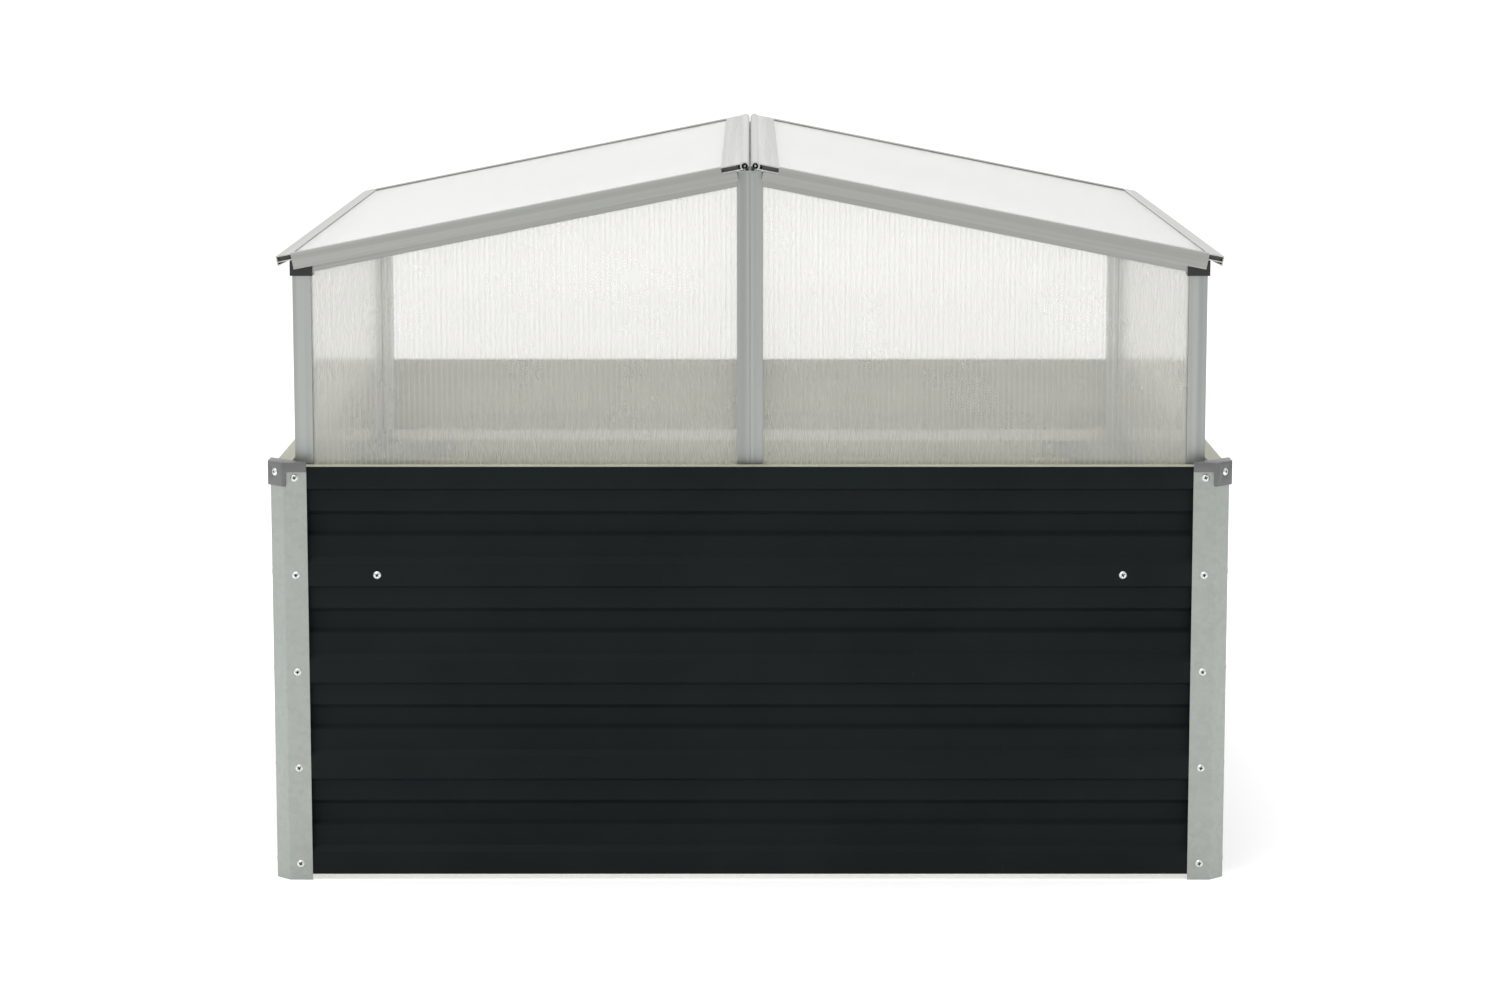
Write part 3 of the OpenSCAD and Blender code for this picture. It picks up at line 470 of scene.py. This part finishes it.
def build_walls(coat, backing, fold):
    section = wall_section()
    bend_start = max(i for i, p in enumerate(section) if p.x < POST_T + TOUCH)
    bend_end = len(section) - 2
    # Over the top bend the outer face turns pale: the bend's upper half takes the primer as a painted
    # highlight line, the fold's flat (material 2) a darker primer copy as painted shade
    bend_highlight_from = bend_start + 4

    def kind(side, i):
        if side or bend_highlight_from <= i < bend_end:
            return 1
        return 0 if i < bend_end else 2

    turns = {"front_wall": (0, HALF_W, HALF_D), "right_wall": (90, HALF_D, HALF_W),
             "back_wall": (180, HALF_W, HALF_D), "left_wall": (270, HALF_D, HALF_W)}
    for node, (angle, half_length, half_depth) in turns.items():
        turn = Matrix.Rotation(math.radians(angle), 3, "Z")

        def place(point, end):
            folded = point.y > WALL_TOP - WALL_T - TOUCH and point.x > POST_T + WALL_BEND
            reach = half_length - (FOLD_END if folded else WALL_END)
            return turn @ Vector((end * reach, point.x - half_depth, point.y))

        obj = swept_sheet(node + "_sheet", section, -WALL_T, place, kind)
        settle(obj, [coat, backing, fold], [node])


def corners():
    for y, end in ((-1, "front"), (1, "back")):
        for x, side in ((-1, "left"), (1, "right")):
            yield x, y, f"{end}_{side}"


def build_posts(metal):
    path = rounded([(0, POST_W), (0, POST_CHAMFER), (POST_CHAMFER, 0), (POST_W, 0)], POST_BEND)
    height = BED_HIGH.z
    for x, y, corner in corners():
        def place(point, end):
            return Vector((x * (HALF_W - point.x), y * (HALF_D - point.y), height if end > 0 else 0))

        obj = swept_sheet(corner + "_post_folded", path, POST_T, place)
        settle(obj, [metal], [corner + "_post"])


# --------------------------------------------------------------- fasteners

def lathe(rings, segments):
    """Verts and quads of stacked rings, each a function of the angle that gives (radius, z)."""
    verts = []
    for ring in rings:
        for k in range(segments):
            angle = 2 * math.pi * k / segments
            radius, z = ring(angle)
            verts.append(Vector((radius * math.cos(angle), radius * math.sin(angle), z)))
    faces = []
    for i in range(len(rings) - 1):
        for k in range(segments):
            n = (k + 1) % segments
            row, above = i * segments, (i + 1) * segments
            faces.append([row + k, row + n, above + n, above + k])
    return verts, faces


def cross_recess(radius, angle):
    """Depth of the head's cross recess at a point."""
    a, b = abs(radius * math.cos(angle)) / MM, abs(radius * math.sin(angle)) / MM

    def arm(u, v):
        return min(max((ARM_HALF - u) / ARM_SIDE, 0), 1) * min(max((ARM_END - v) / ARM_TIP, 0), 1)

    return RECESS_DEPTH * max(arm(a, b), arm(b, a))


def screw_shape(grip, segments=48):
    """Dome head with a cross recess, and a shank whose end is threaded."""
    dome = HEAD_H - HEAD_RIM
    dome_r = (HEAD_R ** 2 + dome ** 2) / (2 * dome)

    def dome_ring(radius):
        top = HEAD_RIM + math.sqrt(dome_r ** 2 - radius ** 2) - (dome_r - dome)
        return lambda angle: (radius, top - cross_recess(radius, angle))

    def thread_ring(z):
        def ring(angle):
            wave = (z / THREAD_PITCH - angle / (2 * math.pi)) % 1
            return SCREW_R - THREAD_DEPTH * abs(2 * wave - 1), z
        return ring

    rings = [dome_ring(r) for r in HEAD_RINGS]
    rings += [lambda a: (HEAD_R, 0.0), lambda a: (SCREW_R, 0.0)]
    thread_from = NUT_H + TAIL - grip
    thread_run = -grip + 0.3 * MM - thread_from
    threads = [thread_from + thread_run * i / THREAD_STEPS for i in range(THREAD_STEPS + 1)]
    rings += [lambda a: (SCREW_R, thread_from + 0.1 * MM)]
    rings += [thread_ring(z) for z in threads]
    rings += [lambda a: (SCREW_R - 0.5 * MM, -grip)]
    verts, faces = lathe(rings, segments)
    # Faces deeper than RECESS_DARK, and the small face at the head's centre, take material 1, the
    # near-black painted shade
    sunk = [cross_recess(v.xy.length, math.atan2(v.y, v.x)) > RECESS_DARK for v in verts]
    on_head = segments * len(HEAD_RINGS)
    kinds = [int(i < on_head and all(sunk[v] for v in face)) for i, face in enumerate(faces)]
    faces.append(list(range(segments))[::-1])
    faces.append(list(range(len(verts) - segments, len(verts))))
    return verts, faces, kinds + [1, 0]


def nut_shape(segments=48):
    """Hexagon nut below z = 0, chamfered on both faces, with a countersunk bore."""
    flat = NUT_R * math.cos(math.pi / 6)
    slope = math.tan(math.radians(30))

    def hexagon(angle):
        return flat / math.cos((angle % (math.pi / 3)) - math.pi / 6)

    def shoulder(top):
        def ring(angle):
            fall = (hexagon(angle) - flat) * slope + 0.05 * MM
            return hexagon(angle), (-fall if top else fall - NUT_H)
        return ring

    rings = [
        lambda a: (NUT_BORE, -NUT_SINK), lambda a: (NUT_BORE + NUT_SINK, 0.0),
        lambda a: (flat * NUT_FACE, 0.0), shoulder(True), shoulder(False),
        lambda a: (flat * NUT_FACE, -NUT_H), lambda a: (NUT_BORE + NUT_SINK, -NUT_H),
        lambda a: (NUT_BORE, NUT_SINK - NUT_H), lambda a: (NUT_BORE, -NUT_SINK),
    ]
    verts, faces = lathe(rings, segments)
    last = len(verts) - segments
    faces = [[v - last if v >= last else v for v in face] for face in faces]
    return verts[:last], faces, [0] * len(faces)


def flange_places(depth):
    """Where each post's flange screws stand, depth behind the post's faces, and their outward way."""
    rows = [WALL_BOTTOM + OUTER_FLAT / 2 + i * WALL_PITCH for i in range(WALL_RIBS + 1)]
    for x, y, _ in corners():
        for z in rows:
            yield Vector((x * (HALF_W - SCREW_IN), y * (HALF_D - depth), z)), Vector((0, y, 0))
            yield Vector((x * (HALF_W - depth), y * (HALF_D - SCREW_IN), z)), Vector((x, 0, 0))


def cap_places(depth):
    inward = POST_CHAMFER / 2 + depth / math.sqrt(2)
    for x, y, _ in corners():
        place = Vector((x * (HALF_W - inward), y * (HALF_D - inward), CAP_TOP - CAP_SCREW_DROP))
        yield place, Vector((x, y, 0)).normalized()


def brace_places(depth):
    z = WALL_BOTTOM + OUTER_FLAT / 2 + (WALL_RIBS - 1) * WALL_PITCH
    for x, y, _ in corners():
        yield Vector((x * (HALF_W - BRACE_REACH), y * (HALF_D - depth), z)), Vector((0, y, 0))
        yield Vector((x * (HALF_W - depth), y * (HALF_D - BRACE_REACH), z)), Vector((x, 0, 0))


def fasteners(name, sets, materials, node, turn):
    """Joins copies of each shape at its places. turn is the most that one is turned at random."""
    verts, faces, kinds = [], [], []
    draw = random.Random(7)
    for (shape_verts, shape_faces, shape_kinds), places in sets:
        for place, outward in places:
            aim = outward.to_track_quat("Z", "Y").to_matrix()
            spin = Matrix.Rotation(draw.uniform(0, turn), 3, "Z")
            start = len(verts)
            verts += [place + aim @ (spin @ v) for v in shape_verts]
            faces += [[start + i for i in face] for face in shape_faces]
            kinds += shape_kinds
    obj = add_mesh(name, verts, faces, kinds)
    face_outward(obj)
    settle(obj, materials, [node])


def build_fasteners(materials):
    seat = POST_T + WALL_T
    fasteners("post_screws_crosshead", [
        (screw_shape(seat + NUT_H + TAIL), list(flange_places(0))),
        (screw_shape(CAP_T + CAP_GAP + POST_T + NUT_H + TAIL), list(cap_places(-CAP_GAP - CAP_T))),
    ], materials, "post_screws", math.pi)
    fasteners("post_nuts_chamfered", [
        (nut_shape(), list(flange_places(seat)) + list(cap_places(POST_T))),
    ], materials[:1], "post_nuts", 0)
    fasteners("brace_bolts_crosshead", [
        (screw_shape(WALL_T + BRACE_T + NUT_H + TAIL), list(brace_places(POST_T))),
    ], materials, "brace_bolts", math.pi)
    fasteners("brace_nuts_chamfered", [
        (nut_shape(), list(brace_places(seat + BRACE_T))),
    ], materials[:1], "brace_nuts", 0)


# ------------------------------------------------- rounded copies of CAD nodes

def softened(node, radius, material, segments=2):
    """A copy of a CAD node whose sharp edges are rounded."""
    bm = bmesh.new()
    bm.from_mesh(NODES[node].data)
    bmesh.ops.remove_doubles(bm, verts=bm.verts, dist=1e-6)
    bmesh.ops.dissolve_limit(
        bm, angle_limit=math.radians(1), verts=bm.verts, edges=bm.edges, delimit=set())
    sharp = [e for e in bm.edges if len(e.link_faces) == 2 and e.calc_face_angle() > math.radians(28)]
    bmesh.ops.bevel(bm, geom=sharp, offset=radius, offset_type="OFFSET", segments=segments,
                    profile=0.5, affect="EDGES", clamp_overlap=True)
    mesh = bpy.data.meshes.new(node + "_rounded")
    bm.to_mesh(mesh)
    bm.free()
    obj = bpy.data.objects.new(node + "_rounded", mesh)
    bpy.context.scene.collection.objects.link(obj)
    return settle(obj, [material], [node], NODES[node]["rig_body"])


def tube(name, outer, inner, place, length, segments=40):
    """A ring-shaped cutter along Y, to length on each side of its place."""
    verts, faces = lathe([
        lambda a: (inner, -length), lambda a: (outer, -length),
        lambda a: (outer, length), lambda a: (inner, length), lambda a: (inner, -length),
    ], segments)
    last = len(verts) - segments
    faces = [[v - last if v >= last else v for v in face] for face in faces]
    obj = add_mesh(name, [place + Vector((v.x, v.z, v.y)) for v in verts[:last]], faces)
    face_outward(obj)
    return obj


def build_ridge(metal, painted_recess_shade):
    """The ridge beam with the ends of its hollow beads open round their cores, their bores painted
    near-black as painted shade.
    """
    beam = NODES["ridge_beam"]
    low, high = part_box("ridge_beam")
    obj = bpy.data.objects.new("ridge_beam_bored", beam.data.copy())
    bpy.context.scene.collection.objects.link(obj)
    obj.data.materials.clear()
    obj.data.materials.append(metal)
    for y in (low.y, high.y):
        for x in (-HINGE_X, HINGE_X):
            bead = Vector((x, y, high.z - BEAD_R))
            cutter = tube("cutter", BEAD_R - BEAD_WALL, BEAD_CORE, bead, BEAD_BORE)
            # The cutter's near-black material passes to the bores' faces: painted shade inside the
            # bead ends
            cutter.data.materials.append(painted_recess_shade)
            cut = obj.modifiers.new("bore", "BOOLEAN")
            cut.operation, cut.solver, cut.object = "DIFFERENCE", "EXACT", cutter
            cut.material_mode = "TRANSFER"
            depsgraph = bpy.context.evaluated_depsgraph_get()
            shape = bpy.data.meshes.new_from_object(obj.evaluated_get(depsgraph))
            obj.modifiers.clear()
            obj.data = shape
            bpy.data.objects.remove(cutter)
    settle(obj, [], ["ridge_beam"])


# --------------------------------------------------------------- the scene

def paint(node, material):
    NODES[node].data.materials.clear()
    NODES[node].data.materials.append(material)


def build_object():
    metal = galvanised()
    # The top fold's flat gets a darker copy of the primer: painted shade
    build_walls(painted_steel(), primer("primer", 0.96), primer("primer_painted_shade", 0.76))
    build_posts(metal)
    # Near-black painted shade for the screws' cross recesses and the ridge beam's bead bores
    painted_recess_shade = moulded("painted_recess_shade", rgb(20, 20, 19), rgb(36, 35, 33), 0.75, 900)
    build_fasteners([zinc("zinc_screws", rgb(208, 211, 208), rgb(234, 236, 232), False), painted_recess_shade])
    cap = moulded("cap_plastic", rgb(92, 93, 94), rgb(104, 104, 105), 0.34, 1300)
    black = moulded("black_plastic", rgb(18, 18, 18), rgb(28, 28, 28), 0.42, 1500)
    for _, _, corner in corners():
        softened(corner + "_cap", 0.5 * MM, cap)
        paint(corner + "_brace", metal)
    paint("corner_connectors", black)

    frame_tones = rgb(152, 155, 153), rgb(170, 173, 170)
    # A lighter copy of the frame aluminium for the back uprights: painted light where they stand in
    # the frame's shade
    far_painted_light_tones = rgb(190, 192, 189), rgb(206, 208, 205)
    # A still lighter copy of the frame aluminium for the front and back sills: painted light on sills
    # that sit in shade inside the bed
    sill_painted_light_tones = rgb(206, 206, 202), rgb(222, 222, 218)
    # A lighter copy of the frame aluminium for the lids' hinge and eave rails: painted light, as on
    # rails that face the top light
    lid_painted_light_tones = rgb(184, 184, 182), rgb(200, 200, 198)
    rake_tones = rgb(160, 161, 157), rgb(178, 179, 174)
    for node in NODES:
        if node.startswith("back") and node.endswith("upright"):
            paint(node, shared(extrusion, "frame_aluminium_far", *far_painted_light_tones, "z"))
        elif node.endswith("upright"):
            paint(node, shared(extrusion, "frame_aluminium_up", *frame_tones, "z"))
        elif node.endswith("gable_rail"):
            side = -1 if "left" in node else 1
            paint(node, shared(extrusion, f"frame_aluminium_rake_{'left' if side < 0 else 'right'}",
                               *rake_tones, "x", (0, -side * ROOF_PITCH, 0)))
        elif node in ("front_sills", "back_sills"):
            paint(node, shared(extrusion, "frame_aluminium_across", *sill_painted_light_tones, "x"))
        elif node in ("left_eave_rail", "right_eave_rail", "left_sill", "right_sill", "ridge_beam"):
            paint(node, shared(extrusion, "frame_aluminium_back", *frame_tones, "y"))
        elif node.endswith(("lid_hinge_rail", "lid_eave_rail")):
            paint(node, shared(extrusion, "lid_aluminium_back", *lid_painted_light_tones, "y"))
        elif node.endswith(("lid_front_rail", "lid_back_rail")):
            side = -1 if "left" in node else 1
            paint(node, shared(extrusion, f"lid_aluminium_rake_{'left' if side < 0 else 'right'}",
                               *rake_tones, "x", (0, -side * ROOF_PITCH, 0)))
        elif node.endswith("_sheet"):
            axis = 0 if node.startswith(("front", "back")) else 1
            haze = LID_HAZE if "lid" in node else SIDE_HAZE
            paint(node, twin_wall("twin_wall_" + node, node, axis, *haze))
    build_ridge(shared(extrusion, "frame_aluminium_back", *frame_tones, "y"), painted_recess_shade)
    plated = zinc("zinc_stays", rgb(188, 193, 190), rgb(212, 216, 212), True)
    for node in ("stay_pegs", "left_stay_bracket", "right_stay_bracket", "left_stay", "right_stay"):
        paint(node, plated)


def build_stage():
    half = 150
    floor = add_mesh("floor", [(-half, -half, 0), (half, -half, 0), (half, half, 0), (-half, half, 0)],
                     [[0, 1, 2, 3]])
    m = Material("floor")
    mottle = m.noise(m.coordinates(), 3, 3)
    floor.data.materials.append(m.finish(m.shader(
        Base_Color=m.blend(mottle, (0.86, 0.86, 0.86, 1), (0.89, 0.89, 0.89, 1)), Roughness=0.9,
        Specular_IOR_Level=0.1, Emission_Color=(1, 1, 1, 1), Emission_Strength=0.36)))


def area_light(name, place, aim, size, power):
    data = bpy.data.lights.new(name, "AREA")
    data.shape = "RECTANGLE"
    data.size, data.size_y = size
    data.energy = power
    lamp = bpy.data.objects.new(name, data)
    lamp.location = place
    lamp.rotation_euler = (Vector(aim) - Vector(place)).to_track_quat("-Z", "Y").to_euler()
    lamp.visible_camera = False
    bpy.context.scene.collection.objects.link(lamp)


def build_lights():
    area_light("key", (-1.8, -2.6, 4.0), (0, 0, 0.4), (2.4, 1.6), 38)
    area_light("fill", (3.4, -2.2, 1.6), (0, 0, 0.4), (2.4, 2.0), 10)
    area_light("top", (0, 0.2, 3.4), (0, 0, 0.5), (2.6, 2.6), 44)


def build_world():
    """White behind the object. Its light is brightest above, behind and to the left."""
    world = bpy.data.worlds.new("studio")
    bpy.context.scene.world = world
    world.use_nodes = True
    nodes, links = world.node_tree.nodes, world.node_tree.links
    nodes.clear()

    def add(kind, **inputs):
        node = nodes.new("ShaderNode" + kind)
        for key, value in inputs.items():
            node.inputs[key.replace("_", " ")].default_value = value
        return node

    way, bright = add("TexCoord"), add("VectorMath")
    bright.operation = "DOT_PRODUCT"
    bright.inputs[1].default_value = (-0.65, 0.5, 1.3)
    level = add("MapRange", From_Min=-0.6, From_Max=0.6, To_Min=0.36, To_Max=1.2)
    lighting, shown = add("Background"), add("Background", Color=(1, 1, 1, 1), Strength=1.0)
    path, choice, out = add("LightPath"), add("MixShader"), add("OutputWorld")
    links.new(way.outputs["Generated"], bright.inputs[0])
    links.new(bright.outputs["Value"], level.inputs["Value"])
    links.new(level.outputs[0], lighting.inputs["Strength"])
    links.new(path.outputs["Is Camera Ray"], choice.inputs[0])
    links.new(lighting.outputs[0], choice.inputs[1])
    links.new(shown.outputs[0], choice.inputs[2])
    links.new(choice.outputs[0], out.inputs["Surface"])


def build_camera():
    data = bpy.data.cameras.new("camera")
    data.lens, data.sensor_width = 94.9, 36
    data.clip_end = 300
    camera = bpy.data.objects.new("camera", data)
    camera.location = (0, -4.566, 1.0152)
    camera.rotation_euler = (math.radians(90 - 8.534), 0, 0)
    bpy.context.scene.collection.objects.link(camera)
    bpy.context.scene.camera = camera


build_object()
build_stage()
build_lights()
build_world()
build_camera()
bpy.context.scene.view_settings.view_transform = "Standard"
bpy.context.scene.cycles.transparent_max_bounces = 40
